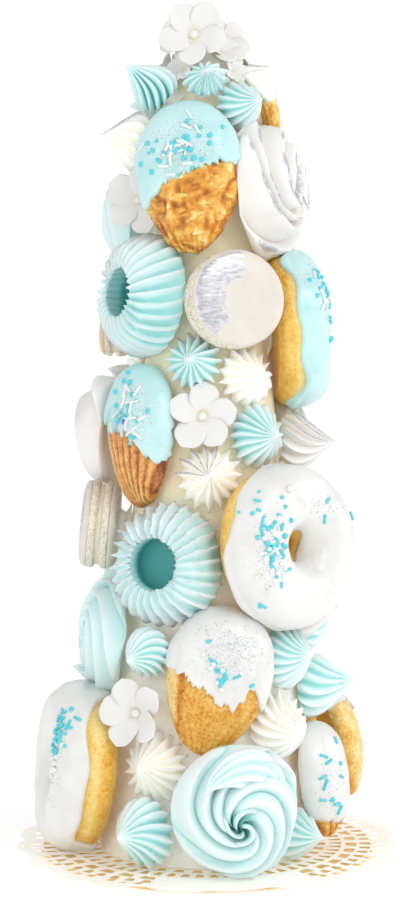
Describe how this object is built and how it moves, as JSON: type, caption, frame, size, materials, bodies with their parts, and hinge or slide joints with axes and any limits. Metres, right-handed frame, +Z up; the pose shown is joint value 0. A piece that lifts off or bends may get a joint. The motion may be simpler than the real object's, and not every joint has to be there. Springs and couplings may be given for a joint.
{
  "type": "candy cone tower",
  "caption": "Cone tower of sweets on a doily and gold cake board: meringue kisses, piped rings, roses, macarons, doughnuts, madeleines and sugar flowers in pale blue and cream.",
  "frame": {"origin": "centre of the cake board's underside, on the surface it stands on", "axes": "+Z up along the cone, -Y towards the front of the tower, +X to the right as seen from the front"},
  "size_m": [0.202, 0.202, 0.4417],
  "materials": {
    "aqua_meringue": "satin dry sugar, pale blue with deeper blue in the grooves",
    "cream_meringue": "satin dry sugar, warm white",
    "white_sugar": "satin white sugar and glaze",
    "baked_crust": "golden baked sponge with a coloured sugar glaze",
    "icing": "thick royal icing over a foam cone",
    "paper_lace": "embossed matt white paper",
    "gold_board": "gold foil on card"
  },
  "bodies": {
    "root": {"cake_board": "gold_board", "doily": "paper_lace", "cone": "icing", "flower_top": "white_sugar", "flower_top_right": "white_sugar", "flower_top_left": "white_sugar", "flower_upper_left": "white_sugar", "flower_middle": "white_sugar", "flower_lower_left": "white_sugar", "madeleine_top": "baked_crust", "madeleine_left": "baked_crust", "madeleine_front": "baked_crust", "madeleine_right": "baked_crust", "madeleine_right_back": "baked_crust", "madeleine_top_back": "baked_crust", "ring_left": "aqua_meringue", "ring_front": "aqua_meringue", "macaron_front": "cream_meringue", "macaron_left_high": "baked_crust", "macaron_left_low": "white_sugar", "doughnut_right": "baked_crust", "doughnut_front": "white_sugar", "doughnut_left": "baked_crust", "rose_front": "aqua_meringue", "rose_left_high": "aqua_meringue", "rose_right_high": "white_sugar", "rose_left_middle": "white_sugar", "rose_left_low": "aqua_meringue", "doughnut_back": "white_sugar", "rose_back_low": "aqua_meringue", "ring_back": "aqua_meringue", "madeleine_back_low": "baked_crust", "macaron_back_low": "cream_meringue", "rose_back": "cream_meringue", "macaron_back": "white_sugar", "madeleine_back_high": "baked_crust", "rose_back_high": "aqua_meringue", "kiss_back_high": "cream_meringue", "kiss_top_left": "aqua_meringue", "kiss_top_front": "aqua_meringue", "kiss_top_right": "aqua_meringue", "kiss_top_back": "cream_meringue", "kiss_high_left": "cream_meringue", "kiss_high_left_back": "aqua_meringue", "kiss_middle_left": "aqua_meringue", "kiss_middle_right": "cream_meringue", "kiss_right_middle": "aqua_meringue", "kiss_right_edge": "white_sugar", "kiss_middle": "cream_meringue", "kiss_left_low_back": "aqua_meringue", "kiss_low_left": "aqua_meringue", "kiss_low_right": "aqua_meringue", "kiss_low_right_edge": "aqua_meringue", "kiss_right_behind": "aqua_meringue", "kiss_right_back": "white_sugar", "kiss_low_cream": "cream_meringue", "kiss_front_cream": "cream_meringue", "kiss_foot_left": "aqua_meringue", "kiss_foot_right": "aqua_meringue"}
  },
  "joints": []
}
